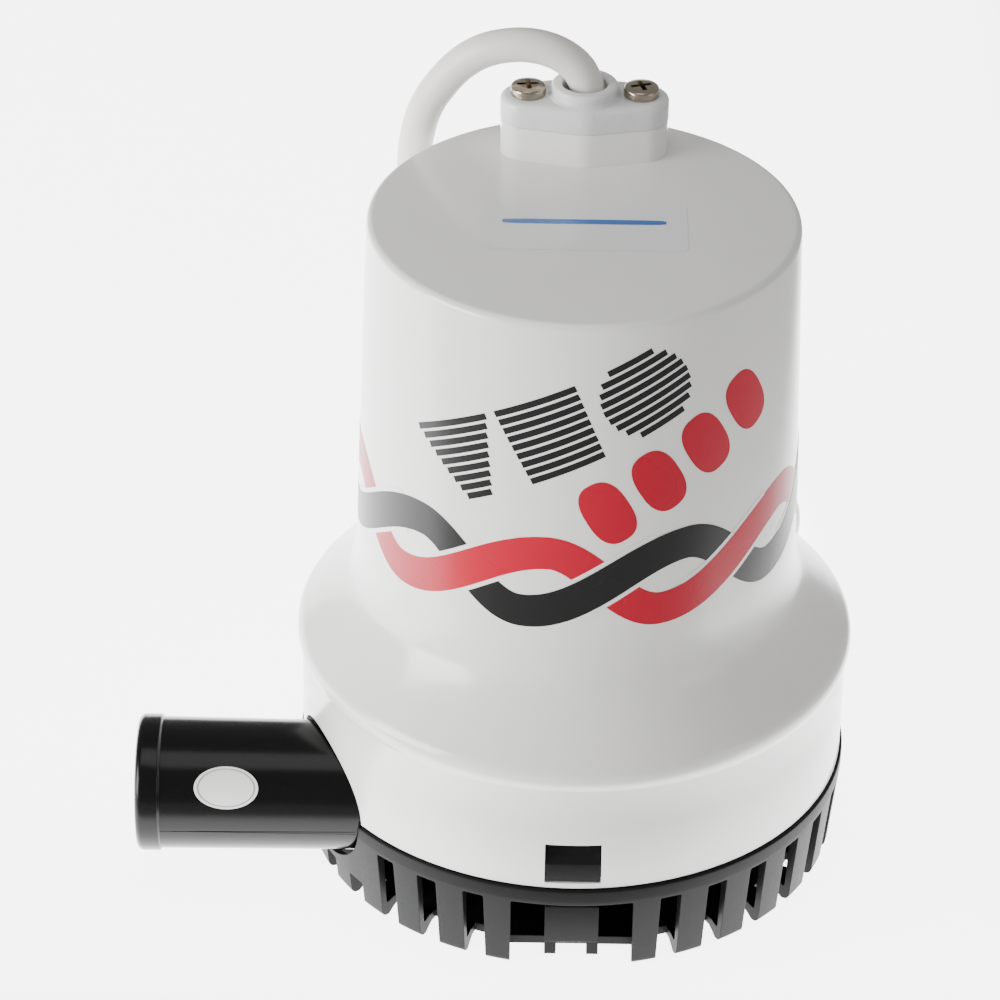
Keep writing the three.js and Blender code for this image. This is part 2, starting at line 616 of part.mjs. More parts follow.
function impeller() {
  const hub = turned([
    [0, 20], [7.2, 20], [8, 35.5], [IMPELLER_R, 35.5], [IMPELLER_R, 38], [8, 38], [8, 39.5], [0, 39.5],
  ], 28);
  const vanes = [];
  for (let i = 0; i < VANE_COUNT; i += 1) {
    vanes.push(prism(vaneOutline(), VANE_LOW_Z, 36).rotateZ(2 * Math.PI * i / VANE_COUNT));
  }
  return cut(join(hub, ...vanes), post(SHAFT_R + GAP, 10, 45), post(7.2, 10, 20));
}

function impellerNut() {
  return cut(post(5.8, 14.8, 19.6, 6), post(3 + GAP, 10, 25, 12));
}

add('rotor_shaft', rotorShaft(), stainless);
add('armature_core', armatureCore(), steel);
add('armature_winding', armatureWinding(), copper);
add('commutator', commutator(), copper);
add('impeller', impeller(), blackAbs);
add('impeller_nut', impellerNut(), stainless);

// ---- power cord --------------------------------------------------------------------------------

// The cord rises out of the gland, arches over to the rear left and hangs down behind the housing
// to the floor, where the rest of it lies in a flat coil of two turns.
const cordRoute = [
  [0, 39.2, 192], [0, 39.2, 206], [0.9, 39.2, 216], [0.4, 39.5, 221], [-2, 40.1, 226], [-6.9, 41.1, 229.6],
  [-13, 42.3, 231.3], [-20.2, 43.8, 231], [-28.5, 45.7, 228.1], [-35.6, 47.6, 222.3],
  [-41.8, 49.4, 213.7], [-45.1, 50.6, 206.7],
  [-46.9, 51.8, 199.7], [-47.9, 53, 192.6], [-48.4, 55.5, 178], [-48.6, 59, 160], [-48.3, 63.5, 140],
  [-47.6, 69, 120], [-46.5, 74.5, 100], [-45.3, 78.5, 80], [-44.4, 80.3, 60], [-44, 81.5, 44],
  [-44, 86.5, 26], [-44, 98.5, 11.5], [-44, 117.5, 5.1],
];

function cordCoil() {
  const bevel = 3;
  const top = 2 * CORD_R;
  const coil = turned([
    [COIL_INNER_R + bevel, 0], [COIL_OUTER_R - bevel, 0], [COIL_OUTER_R, bevel], [COIL_OUTER_R, top - bevel],
    [COIL_OUTER_R - bevel, top], [COIL_INNER_R + bevel, top], [COIL_INNER_R, top - bevel],
    [COIL_INNER_R, bevel],
  ], 26);
  return coil.translate(...COIL_CENTRE, 0);
}

function conductor(offset) {
  return rodAlong([
    [-17 + offset, 150, 1.8], [-14.5 + offset, 158, 1.8], [-10 + offset, 166, 1.8], [-4 + offset, 172, 1.8],
  ], 1.6, 6, 6);
}

add('power_cord', rodAlong(cordRoute, CORD_R, 8, 44), sheath);
add('cord_coil', cordCoil(), sheath);
add('conductor_brown', conductor(0), brownPvc);
add('conductor_black', conductor(4.5), blackPvc);

export default pump;
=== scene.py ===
import math

import bmesh
import bpy
import numpy as np
from mathutils import Matrix, Vector


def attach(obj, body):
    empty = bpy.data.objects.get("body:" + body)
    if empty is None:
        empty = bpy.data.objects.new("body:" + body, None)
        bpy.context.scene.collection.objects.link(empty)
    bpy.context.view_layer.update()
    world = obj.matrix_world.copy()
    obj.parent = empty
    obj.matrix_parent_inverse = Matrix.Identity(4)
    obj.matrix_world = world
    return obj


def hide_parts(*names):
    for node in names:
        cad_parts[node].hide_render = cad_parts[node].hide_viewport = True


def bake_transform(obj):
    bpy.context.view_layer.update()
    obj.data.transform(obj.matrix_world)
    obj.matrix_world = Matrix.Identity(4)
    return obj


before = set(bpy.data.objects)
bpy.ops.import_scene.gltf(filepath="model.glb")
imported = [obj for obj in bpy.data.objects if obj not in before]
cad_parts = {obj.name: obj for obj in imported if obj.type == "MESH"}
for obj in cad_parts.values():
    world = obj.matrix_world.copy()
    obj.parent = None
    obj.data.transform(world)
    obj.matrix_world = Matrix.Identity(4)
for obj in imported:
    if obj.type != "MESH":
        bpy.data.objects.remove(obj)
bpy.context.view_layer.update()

MM = 0.001

# ---- camera ------------------------------------------------------------------------------------
# A long lens looks down on the pump from the front at about 33 degrees, turned and rolled by a
# fraction of a degree, with its centre shifted slightly.

HEADING = math.radians(-0.24)
PITCH = math.radians(32.61)
ROLL = math.radians(0.75)
CAMERA_PLACE = Vector((-18.44, -1056.37, 783.66)) * MM

camera_data = bpy.data.cameras.new("camera")
camera_data.sensor_width = 36
camera_data.lens = 157.88
camera_data.shift_x = 0.0028
camera_data.shift_y = 0.0008
camera_data.clip_start = 0.05
camera_data.clip_end = 30
camera = bpy.data.objects.new("camera", camera_data)
bpy.context.scene.collection.objects.link(camera)
bpy.context.scene.camera = camera
forward = Vector((
    math.sin(HEADING) * math.cos(PITCH),
    math.cos(HEADING) * math.cos(PITCH),
    -math.sin(PITCH),
))
level_right = Vector((math.cos(HEADING), -math.sin(HEADING), 0))
level_up = level_right.cross(forward)
right = level_right * math.cos(ROLL) + level_up * math.sin(ROLL)
up = level_up * math.cos(ROLL) - level_right * math.sin(ROLL)
turn = Matrix((right, up, -forward)).transposed()
camera.matrix_world = Matrix.Translation(CAMERA_PLACE) @ turn.to_4x4()

# ---- power cord --------------------------------------------------------------------------------
# One metre of round flex leaves the gland, arches to the rear left, hangs down behind the housing
# and lies on the floor in a flat coil that winds inwards. Its cut end shows two conductors.

CORD_R = 4.9
CORD_LENGTH = 1000
COIL_CENTRE = (16, 154)
COIL_START_R = 60
COIL_PITCH = 10
COIL_TURNS = 2.2
CORD_STEP = 2
CORE_R = 1.6
CORE_OFFSET = 2.1
COAT_ROUGHNESS = 0.06
SCATTER_DEPTH = 2
ROUGHNESS_SPREAD = 0.15
SHARP_ANGLE = math.radians(32)


def colour(code):
    """A hex code in sRGB as a linear RGBA colour."""
    parts = [int(code[i:i + 2], 16) / 255 for i in (0, 2, 4)]
    return [p / 12.92 if p <= 0.04045 else ((p + 0.055) / 1.055) ** 2.4 for p in parts] + [1]


def add_node(tree, kind, inputs=(), **settings):
    """A node with its settings, and its inputs given as constants or as sockets to link."""
    made = tree.nodes.new(kind)
    for key, value in settings.items():
        setattr(made, key, value)
    for key, value in dict(inputs).items():
        if isinstance(value, bpy.types.NodeSocket):
            tree.links.new(value, made.inputs[key])
        else:
            made.inputs[key].default_value = value
    return made


def material(name, code, roughness, metallic=0, coat=0, scatter=0, grain=3, relief=0, soften=0, shade=0.97,
             gloss=0.5):
    """A material whose colour and roughness vary with a noise of grain mm, with relief in mm.
    Its darkest colour is shade times its own, and soften is the radius of its edges in mm."""
    made = bpy.data.materials.new(name)
    made.use_nodes = True
    tree = made.node_tree
    shader = tree.nodes["Principled BSDF"]
    shader.inputs["Metallic"].default_value = metallic
    shader.inputs["Specular IOR Level"].default_value = gloss
    shader.inputs["Coat Weight"].default_value = coat
    shader.inputs["Coat Roughness"].default_value = COAT_ROUGHNESS
    shader.inputs["Subsurface Weight"].default_value = scatter
    shader.inputs["Subsurface Radius"].default_value = (1, 1, 1)
    shader.inputs["Subsurface Scale"].default_value = SCATTER_DEPTH * MM
    place = add_node(tree, "ShaderNodeTexCoord").outputs["Object"]
    noise = add_node(tree, "ShaderNodeTexNoise", {"Vector": place, "Scale": 1 / (grain * MM), "Detail": 3.0})
    height = noise.outputs["Fac"]
    light = colour(code)
    dark = [shade * part for part in light[:3]] + [1]
    mixed = add_node(tree, "ShaderNodeMix", data_type="RGBA")
    tree.links.new(height, mixed.inputs["Factor"])
    mixed.inputs[6].default_value = dark
    mixed.inputs[7].default_value = light
    tree.links.new(mixed.outputs[2], shader.inputs["Base Color"])
    rough = add_node(tree, "ShaderNodeMapRange", {
        "Value": height,
        "To Min": (1 - ROUGHNESS_SPREAD) * roughness,
        "To Max": (1 + ROUGHNESS_SPREAD) * roughness,
    })
    tree.links.new(rough.outputs["Result"], shader.inputs["Roughness"])
    bump = add_node(tree, "ShaderNodeBump", {"Strength": 1.0, "Distance": relief * MM, "Height": height})
    if soften:
        edge = add_node(tree, "ShaderNodeBevel", {"Radius": soften * MM}, samples=4)
        tree.links.new(edge.outputs["Normal"], bump.inputs["Normal"])
    tree.links.new(bump.outputs["Normal"], shader.inputs["Normal"])
    return made


def dress(obj, surface, body, slot, *nodes, ride=True):
    """Gives a piece its material and its body, and hides the CAD nodes that it stands for. Its slot is not
    used.
    """
    obj.data.materials.clear()
    obj.data.materials.append(surface)
    if ride:
        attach(obj, body)
    if nodes:
        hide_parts(*nodes)
    return obj


def shaded(obj):
    """Smooth shading, with sharp edges where faces meet at more than SHARP_ANGLE."""
    obj.data.shade_smooth()
    obj.data.set_sharp_from_angle(angle=SHARP_ANGLE)
    return obj


def mesh_object(name, points, faces):
    """An object from points in millimetres."""
    mesh = bpy.data.meshes.new(name)
    mesh.from_pydata([Vector(p) * MM for p in points], [], faces)
    obj = bpy.data.objects.new(name, mesh)
    bpy.context.scene.collection.objects.link(obj)
    return obj


def loft(name, rings, closed=False):
    """A body through rings of points; its ends are capped, or its last ring joins its first."""
    count = len(rings[0])
    points = [p for one in rings for p in one]
    faces = []
    for i in range(len(rings) if closed else len(rings) - 1):
        low = i * count
        high = (i + 1) % len(rings) * count
        faces += [(low + k, low + (k + 1) % count, high + (k + 1) % count, high + k) for k in range(count)]
    if not closed:
        last = (len(rings) - 1) * count
        faces += [tuple(range(count))[::-1], tuple(range(last, last + count))]
    obj = mesh_object(name, points, faces)
    shell = bmesh.new()
    shell.from_mesh(obj.data)
    bmesh.ops.recalc_face_normals(shell, faces=shell.faces)
    shell.to_mesh(obj.data)
    shell.free()
    return shaded(obj)


def smooth_path(points, step):
    """A Catmull-Rom curve through the points, resampled at an even step."""
    given = [np.array(p, float) for p in points]
    ends = [2 * given[0] - given[1], *given, 2 * given[-1] - given[-2]]
    line = []
    for a, b, c, d in zip(ends, ends[1:], ends[2:], ends[3:]):
        for t in np.linspace(0, 1, 24, endpoint=False):
            line.append(0.5 * (2 * b + (c - a) * t + (2 * a - 5 * b + 4 * c - d) * t ** 2
                               + (3 * b - a - 3 * c + d) * t ** 3))
    line.append(given[-1])
    return resampled(np.array(line), step)


def resampled(line, step):
    """The same line with points at an even step along it."""
    along = np.concatenate([[0], np.cumsum(np.linalg.norm(np.diff(line, axis=0), axis=1))])
    marks = np.linspace(0, along[-1], max(2, round(along[-1] / step) + 1))
    return np.stack([np.interp(marks, along, line[:, k]) for k in range(3)], axis=1)


def tube(name, line, radius, sides=28, edge=0.4):
    """A round bar along a line, with the edges of its ends rounded."""
    tangents = np.gradient(line, axis=0)
    tangents /= np.linalg.norm(tangents, axis=1)[:, None]
    across = np.cross(tangents[0], [0.31, 0.92, 0.17])
    rings = []
    last = len(line) - 1
    for i, (centre, along) in enumerate(zip(line, tangents)):
        across = across - along * (across @ along)
        across /= np.linalg.norm(across)
        side = np.cross(along, across)
        levels = [(0, radius)]
        if i == 0:
            levels = [(0, radius - edge), (0.3 * edge, radius - 0.3 * edge), (edge, radius)]
        if i == last:
            levels = [(-edge, radius), (-0.3 * edge, radius - 0.3 * edge), (0, radius - edge)]
        for shift, r in levels:
            turns = np.linspace(0, 2 * math.pi, sides, endpoint=False)
            rings.append([
                centre + along * shift + r * (math.cos(t) * across + math.sin(t) * side) for t in turns
            ])
    return loft(name, rings)


cord_sheath = material("cord_sheath_pvc", "dcdad3", 0.42, scatter=0.15, grain=2, relief=0.02)
brown_pvc = material("brown_core_pvc", "5a3620", 0.45, grain=2, relief=0.01)
black_pvc = material("black_core_pvc", "1b1b1c", 0.45, grain=2, relief=0.01)

hanging = smooth_path([
    (0, 39.2, 200), (0, 39.2, 206), (0.9, 39.2, 216), (0.4, 39.5, 221), (-2, 40.1, 226), (-6.9, 41.1, 229.6),
    (-13, 42.3, 231.3), (-20.2, 43.8, 231), (-28.5, 45.7, 228.1), (-35.6, 47.6, 222.3), (-41.8, 49.4, 213.7),
    (-45.1, 50.6, 206.7), (-46.9, 51.8, 199.7), (-47.9, 53, 192.6), (-48.4, 55.5, 178), (-48.6, 59, 160),
    (-48.3, 63.5, 140), (-47.6, 69, 120), (-46.5, 74.5, 100), (-45.3, 78.5, 80), (-44.4, 80.3, 60),
    (-44, 81.5, 44), (-44, 86.5, 26), (-44, 98.5, 11.5), (-44, 117.5, 5.3), (-44, 136, CORD_R),
    (-44, 154, CORD_R),
], CORD_STEP)
coil_angles = np.linspace(0, 2 * COIL_TURNS * math.pi, 600)[1:]
coil_radii = COIL_START_R - COIL_PITCH * coil_angles / (2 * math.pi)
coil = np.stack([
    COIL_CENTRE[0] - coil_radii * np.cos(coil_angles),
    COIL_CENTRE[1] + coil_radii * np.sin(coil_angles),
    np.full_like(coil_angles, CORD_R),
], axis=1)
whole = np.concatenate([hanging, coil])
travelled = np.concatenate([[0], np.cumsum(np.linalg.norm(np.diff(whole, axis=0), axis=1))])
cord_line = resampled(whole[travelled <= CORD_LENGTH], CORD_STEP)
cord = tube("cord", cord_line, CORD_R)
dress(cord, cord_sheath, None, "cord_sheath", "power_cord", "cord_coil", ride=False)
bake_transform(cord)

end = cord_line[-1]
heading = cord_line[-1] - cord_line[-3]
heading /= np.linalg.norm(heading)
beside = np.cross(heading, [0, 0, 1])
for side, name, surface in ((1, "brown", brown_pvc), (-1, "black", black_pvc)):
    start = end + beside * CORE_OFFSET * side
    core = tube(f"core_{name}", smooth_path([
        start - heading * 6,
        start + heading * 3,
        start + heading * 12 + beside * (3 + 2.5 * side) - np.array([0, 0, 2.2]),
        start + heading * 24 + beside * (9 + 4 * side) - np.array([0, 0, 3.2]),
    ], 1), CORE_R, sides=16, edge=0.2)
    dress(core, surface, "strainer", f"{name}_pvc", f"conductor_{name}")

# ---- motor housing -----------------------------------------------------------------------------
# A gloss white bell: straight skirt, round shoulder, hollow flare and a slightly tapered barrel
# with a flat top. The boss for the cable gland stands at the rear of the top.

SKIRT_R = 79
SKIRT_FOOT_Z = 29.4
CREASE_Z = 63.1
BELL_TOP_Z = 96
BARREL_LOW_R = 63
BARREL_TOP_R = 59.9
HOUSING_TOP_Z = 200.9
EDGE_R = 2
WALL = 3
LEDGE_Z = 49.5
LEDGE_BORE_R = 54
GLAND_Y = 39.2
GLAND_MID_R = 11.2
GLAND_END_R = 7.7
GLAND_SCREW_X = 15.85
BOSS_TOP_Z = 211
CAP_TOP_Z = 218.4
OUTLET_Y = -31
OUTLET_Z = 29.3
OUTLET_ROOT_R = 18.6
OUTLET_R = 19.05
OUTLET_CLEAR_R = 20
LATCH_HALF_WIDTH = 7.9
WINDOW_LOW_Z = 31.4
WINDOW_TOP_Z = 44.7
STRAIGHT_BARREL_Z = 106
GLAND_BORE_R = 6.3
GLAND_SEAT_R = 8
GLAND_SEAT_Z = 205


def rounded(points, steps=5):
    """Profile points (x, y) or (x, y, radius), where a corner with a radius becomes an arc."""
    line = []
    for i, point in enumerate(points):
        here = Vector(point[:2])
        if len(point) < 3:
            line.append(tuple(here))
            continue
        back = (Vector(points[i - 1][:2]) - here).normalized()
        ahead = (Vector(points[(i + 1) % len(points)][:2]) - here).normalized()
        half = back.angle(ahead) / 2
        centre = here + (back + ahead).normalized() * point[2] / math.sin(half)
        first = here + back * point[2] / math.tan(half) - centre
        final = here + ahead * point[2] / math.tan(half) - centre
        rays = [first.lerp(final, k / steps).normalized() for k in range(steps + 1)]
        line += [tuple(centre + ray * point[2]) for ray in rays]
    return line


def lathe(name, profile, closed=False, steps=180, centre=(0, 0)):
    """A body turned about a vertical line, from (radius, height) points."""
    turns = [2 * math.pi * k / steps for k in range(steps)]
    return loft(name, [
        [(centre[0] + r * math.cos(t), centre[1] + r * math.sin(t), z) for t in turns] for r, z in profile
    ], closed)


def box(name, low, high):
    """A rectangular block between two corners."""
    (x0, y0, z0), (x1, y1, z1) = low, high
    return loft(name, [[(x0, y0, z), (x1, y0, z), (x1, y1, z), (x0, y1, z)] for z in (z0, z1)])


def baked(obj):
    """The object with its modifiers' result as its mesh, and no modifiers."""
    shape = bpy.data.meshes.new_from_object(obj.evaluated_get(bpy.context.evaluated_depsgraph_get()))
    obj.modifiers.clear()
    obj.data = shape
    return obj


def carved(obj, tools, operation="DIFFERENCE"):
    """The object after each tool is taken away from it, or joined to it."""
    for tool in tools:
        step = obj.modifiers.new("carve", "BOOLEAN")
        step.operation = operation
        step.solver = "EXACT"
        step.object = tool
    baked(obj)
    for tool in tools:
        bpy.data.objects.remove(tool)
    return shaded(obj)


def turned_to_outlet(obj):
    """A body made upright about the origin, laid along the outlet's axis and pointing to -X."""
    place = Matrix.Translation(Vector((0, OUTLET_Y, OUTLET_Z)) * MM)
    obj.data.transform(place @ Matrix.Rotation(-math.pi / 2, 4, "Y"))
    return obj


def gland_ring(inset, z):
    """The gland's outline, three round lands with straight flanks, set in by inset."""
    lean = math.acos((GLAND_MID_R - GLAND_END_R) / GLAND_SCREW_X)
    arcs = [
        (GLAND_SCREW_X, GLAND_END_R, -lean, lean),
        (0, GLAND_MID_R, lean, math.pi - lean),
        (-GLAND_SCREW_X, GLAND_END_R, math.pi - lean, math.pi + lean),
        (0, GLAND_MID_R, math.pi + lean, 2 * math.pi - lean),
    ]
    return [
        (x + (r - inset) * math.cos(t), GLAND_Y + (r - inset) * math.sin(t), z)
        for x, r, first, last in arcs
        for t in np.linspace(first, last, 24)
    ]


def barrel_r(z):
    """The radius of the tapered barrel at a height."""
    return BARREL_LOW_R + (z - BELL_TOP_Z) * (BARREL_TOP_R - BARREL_LOW_R) / (HOUSING_TOP_Z - BELL_TOP_Z)


white_abs = material("white_abs", "e8e7e4", 0.2, coat=0.2, grain=12, relief=0.015, soften=0.3)
bell = smooth_path([(r, 0, z) for r, z in (
    (SKIRT_R, CREASE_Z), (80.1, 65.6), (80.3, 67.6), (79.5, 70), (76, 73.8), (70.8, 79.5), (66.3, 85.2),
    (64.2, 89.3), (BARREL_LOW_R, BELL_TOP_Z), (barrel_r(STRAIGHT_BARREL_Z), STRAIGHT_BARREL_Z),
)], 0.8)
skirt_inner_r = SKIRT_R - WALL
outward = np.cross(np.gradient(bell, axis=0), [0, 1, 0])
outward /= np.linalg.norm(outward, axis=1)[:, None]
inner_line = (bell + WALL * outward)[::-4]
bell_inside = [(p[0], p[2]) for p in inner_line if p[0] < skirt_inner_r - 0.5 and p[2] > 68]
housing_profile = rounded([
    (skirt_inner_r, SKIRT_FOOT_Z, 0.4), (SKIRT_R, SKIRT_FOOT_Z, 0.6), (SKIRT_R, 50),
    *[(p[0], p[2]) for p in bell],
    (BARREL_TOP_R, HOUSING_TOP_Z, EDGE_R), (8, HOUSING_TOP_Z), (8, HOUSING_TOP_Z - WALL),
    (BARREL_TOP_R - WALL, HOUSING_TOP_Z - WALL), *bell_inside,
    (skirt_inner_r, CREASE_Z + 4), (skirt_inner_r, LEDGE_Z + 4), (LEDGE_BORE_R, LEDGE_Z + 4),
    (LEDGE_BORE_R, LEDGE_Z), (skirt_inner_r, LEDGE_Z),
])
housing = lathe("housing", housing_profile, closed=True, steps=240)
plug = lathe("plug", [(20, HOUSING_TOP_Z - WALL), (20, HOUSING_TOP_Z)], steps=64)
boss_levels = [(0, HOUSING_TOP_Z - 1), (0, BOSS_TOP_Z - 0.2), (0.15, BOSS_TOP_Z)]
boss = loft("boss", [gland_ring(inset, z) for inset, z in boss_levels])
carved(housing, [plug, boss], "UNION")
tools = [
    box(f"window_{name}", (-LATCH_HALF_WIDTH, near, WINDOW_LOW_Z), (LATCH_HALF_WIDTH, far, WINDOW_TOP_Z))
    for name, near, far in (("rear", 60, 90), ("front", -90, -60))
]
notch_low = (-90, OUTLET_Y - OUTLET_CLEAR_R + 0.02, 20)
notch_high = (-55, OUTLET_Y + OUTLET_CLEAR_R - 0.02, OUTLET_Z + 0.5)
gland_way = [
    (GLAND_BORE_R, 190), (GLAND_BORE_R, GLAND_SEAT_Z), (GLAND_SEAT_R, GLAND_SEAT_Z), (GLAND_SEAT_R, 215),
]
tools += [
    turned_to_outlet(lathe("outlet_hole", [(OUTLET_CLEAR_R, 55), (OUTLET_CLEAR_R, 90)], steps=96)),
    box("notch", notch_low, notch_high),
    lathe("gland_bore", gland_way, steps=48, centre=(0, GLAND_Y)),
]
carved(housing, tools)
dress(housing, white_abs, "pump", "white_abs", "motor_housing")

# ---- cable gland -------------------------------------------------------------------------------
# A milky nylon cap with a collar round the cord, held by two pan-head screws. The screws are
# nickel plated, with a deep cross recess.

GAP = 0.3
COLLAR_R = 9.35
COLLAR_TOP_Z = 222


def pan_screw(name, shank_r, shank_length, head_r, head_height):
    """A pan-head screw standing on the origin, with a tapered cross recess."""
    screw = lathe(name, rounded([
        (0.2, -shank_length), (shank_r - 0.5, -shank_length), (shank_r, 0.7 - shank_length), (shank_r, 0),
        (head_r, 0, 0.15), (head_r, 0.84 * head_height, 0.3 * head_height),
        (0.6 * head_r, head_height, 0.5), (0.2, head_height),
    ]), steps=56)
    arm = 0.6 * head_r
    slot = 0.13 * head_r
    deep = -0.3 * head_height
    tools = []
    for along, wide in ((arm, slot), (slot, arm)):
        tools.append(loft("recess", [
            [(x * k, y * k, z) for x, y in ((-along, -wide), (along, -wide), (along, wide), (-along, wide))]
            for k, z in ((0.62, deep), (1.1, head_height + 0.5))
        ]))
    return carved(screw, tools)


milky_nylon = material("milky_nylon", "d8d9d8", 0.28, scatter=0.5, grain=6, relief=0.01, soften=0.3)
nickel = material("nickel_plated_steel", "a79b8b", 0.24, metallic=1, grain=0.8, relief=0.01, soften=0.15,
                  shade=0.8)

cap_levels = [
    (0.1, BOSS_TOP_Z + 0.02), (-0.15, BOSS_TOP_Z + 0.25), (-0.15, CAP_TOP_Z - 1.4),
    (0.1, CAP_TOP_Z - 0.75), (0.65, CAP_TOP_Z - 0.25), (1.4, CAP_TOP_Z),
]
cap = loft("gland_cap", [gland_ring(inset, z) for inset, z in cap_levels])
collar = lathe("collar", rounded([
    (0.5, BOSS_TOP_Z + 1), (COLLAR_R + 1.2, BOSS_TOP_Z + 1), (COLLAR_R + 1.2, CAP_TOP_Z - 0.3),
    (COLLAR_R, CAP_TOP_Z + 0.8, 0.9), (COLLAR_R, COLLAR_TOP_Z, 0.9), (0.5, COLLAR_TOP_Z),
]), steps=96, centre=(0, GLAND_Y))
carved(cap, [collar], "UNION")
bore = lathe("bore", rounded([
    (GLAND_BORE_R, BOSS_TOP_Z - 1), (GLAND_BORE_R, COLLAR_TOP_Z - 0.6, 0.6),
    (GLAND_BORE_R + 1, COLLAR_TOP_Z + 0.6),
]), steps=72, centre=(0, GLAND_Y))
carved(cap, [bore])
dress(cap, milky_nylon, "pump", "white_abs", "gland_cap")

for name, side, angle in (("left", -1, 0.1), ("right", 1, 0.3)):
    screw = pan_screw(f"cap_screw_{name}", shank_r=2.5, shank_length=12.5, head_r=5, head_height=3)
    seat = Matrix.Translation(Vector((side * GLAND_SCREW_X, GLAND_Y, CAP_TOP_Z + 0.05)) * MM)
    screw.data.transform(seat @ Matrix.Rotation(angle, 4, "Z"))
    dress(screw, nickel, "pump", "stainless", f"gland_screw_{name}")

# ---- casing and outlet -------------------------------------------------------------------------
# The gloss black casing hangs under the motor. Its outlet leaves to the left along a tangent and
# ends in a lip for the hose; a fine parting line runs low along its front.

OUTLET_LENGTH = 125.3
LIP_R = 19.8
LIP_LENGTH = 7.1
OUTLET_BORE_R = 15.2
CHAMBER_R = 45
CHAMBER_LOW_Z = 12.3
CHAMBER_ROOF_Z = 42.5
FLANGE_R = 66.5
FLANGE_LOW_Z = 45.5
FLANGE_TOP_Z = 49.2
CASING_SCREW_CIRCLE_R = 63.6
HUB_R = 12
HUB_TOP_Z = 52.9
OUTLET_ROOT_LENGTH = 59
SHAFT_HOLE_R = 9.3
COVER_R = 51.5
COVER_EYE_R = 16
COVER_LOW_Z = 9.7
COVER_TOP_Z = 12
PARTING_TURN = 12


def repeat_around(name, source, count, first, pitch, surface):
    """Copies of a piece turned about the upright axis, one every pitch degrees from first."""
    tree = bpy.data.node_groups.new(f"{name}_repeat", "GeometryNodeTree")
    face = tree.interface
    face.new_socket("Geometry", in_out="INPUT", socket_type="NodeSocketGeometry")
    sockets = {
        "Count": face.new_socket("Count", in_out="INPUT", socket_type="NodeSocketInt"),
        "First": face.new_socket("First", in_out="INPUT", socket_type="NodeSocketFloat"),
        "Pitch": face.new_socket("Pitch", in_out="INPUT", socket_type="NodeSocketFloat"),
        "Material": face.new_socket("Material", in_out="INPUT", socket_type="NodeSocketMaterial"),
    }
    face.new_socket("Geometry", in_out="OUTPUT", socket_type="NodeSocketGeometry")
    given = add_node(tree, "NodeGroupInput").outputs
    spots = add_node(tree, "GeometryNodeMeshLine", {"Count": given["Count"], "Offset": (0, 0, 0)})
    index = add_node(tree, "GeometryNodeInputIndex").outputs[0]
    angle = add_node(tree, "ShaderNodeMath", {0: index, 1: given["Pitch"], 2: given["First"]},
                     operation="MULTIPLY_ADD")
    angle = add_node(tree, "ShaderNodeMath", {0: angle.outputs[0]}, operation="RADIANS")
    around = add_node(tree, "ShaderNodeCombineXYZ", {"Z": angle.outputs[0]})
    copies = add_node(tree, "GeometryNodeInstanceOnPoints", {
        "Points": spots.outputs[0], "Instance": given["Geometry"], "Rotation": around.outputs[0],
    })
    real = add_node(tree, "GeometryNodeRealizeInstances", {"Geometry": copies.outputs[0]})
    painted = add_node(tree, "GeometryNodeSetMaterial", {
        "Geometry": real.outputs[0], "Material": given["Material"],
    })
    add_node(tree, "NodeGroupOutput", {"Geometry": painted.outputs[0]})
    step = source.modifiers.new("repeat", "NODES")
    step.node_group = tree
    values = {"Count": count, "First": float(first), "Pitch": float(pitch), "Material": surface}
    for key, value in values.items():
        step[sockets[key].identifier] = value
    source.name = name
    return baked(source)


black_abs = material("black_abs", "080808", 0.2, gloss=0.22, grain=10, relief=0.02, soften=0.3)

casing = lathe("casing", rounded([
    (0.5, CHAMBER_LOW_Z), (CHAMBER_R + WALL, CHAMBER_LOW_Z, 0.8), (CHAMBER_R + WALL, FLANGE_LOW_Z),
    (FLANGE_R, FLANGE_LOW_Z, 0.6), (FLANGE_R, FLANGE_TOP_Z, 0.4), (HUB_R, FLANGE_TOP_Z),
    (HUB_R, HUB_TOP_Z), (0.5, HUB_TOP_Z),
]))
outlet = turned_to_outlet(lathe("outlet", rounded([
    (0.5, 0), (OUTLET_ROOT_R, 0), (OUTLET_ROOT_R, OUTLET_ROOT_LENGTH),
    (OUTLET_R, OUTLET_LENGTH - LIP_LENGTH, 0.3), (LIP_R, OUTLET_LENGTH - LIP_LENGTH + 0.6, 0.5),
    (LIP_R, OUTLET_LENGTH, 1.9), (0.5, OUTLET_LENGTH),
]), steps=120))
carved(casing, [outlet], "UNION")
hose_way = [(OUTLET_BORE_R, 0), (OUTLET_BORE_R, OUTLET_LENGTH + 1)]
carved(casing, [
    lathe("chamber", [(CHAMBER_R, 5), (CHAMBER_R, CHAMBER_ROOF_Z)], steps=128),
    turned_to_outlet(lathe("outlet_bore", hose_way, steps=96)),
    lathe("shaft_hole", [(SHAFT_HOLE_R, 40), (SHAFT_HOLE_R, 60)], steps=48),
])
dress(casing, black_abs, "pump", "black_abs", "volute_casing")

cover = lathe("cover", rounded([
    (COVER_EYE_R, COVER_LOW_Z, 0.5), (COVER_R, COVER_LOW_Z, 0.7), (COVER_R, COVER_TOP_Z, 0.3),
    (COVER_EYE_R, COVER_TOP_Z, 0.5),
]), closed=True)
dress(cover, black_abs, "pump", "black_abs", "volute_cover")

parting = turned_to_outlet(box("parting_line", (-0.1, -0.07, 62), (0.06, 0.07, OUTLET_LENGTH - LIP_LENGTH)))
parting_turn = Matrix.Rotation(math.radians(PARTING_TURN), 4, "X")
axis_place = Matrix.Translation(Vector((0, OUTLET_Y, OUTLET_Z)) * MM)
rim = Matrix.Translation(Vector((0, -OUTLET_R, 0)) * MM)
parting.data.transform(axis_place @ parting_turn @ rim @ axis_place.inverted())
dress(parting, black_abs, "pump", "black_abs")

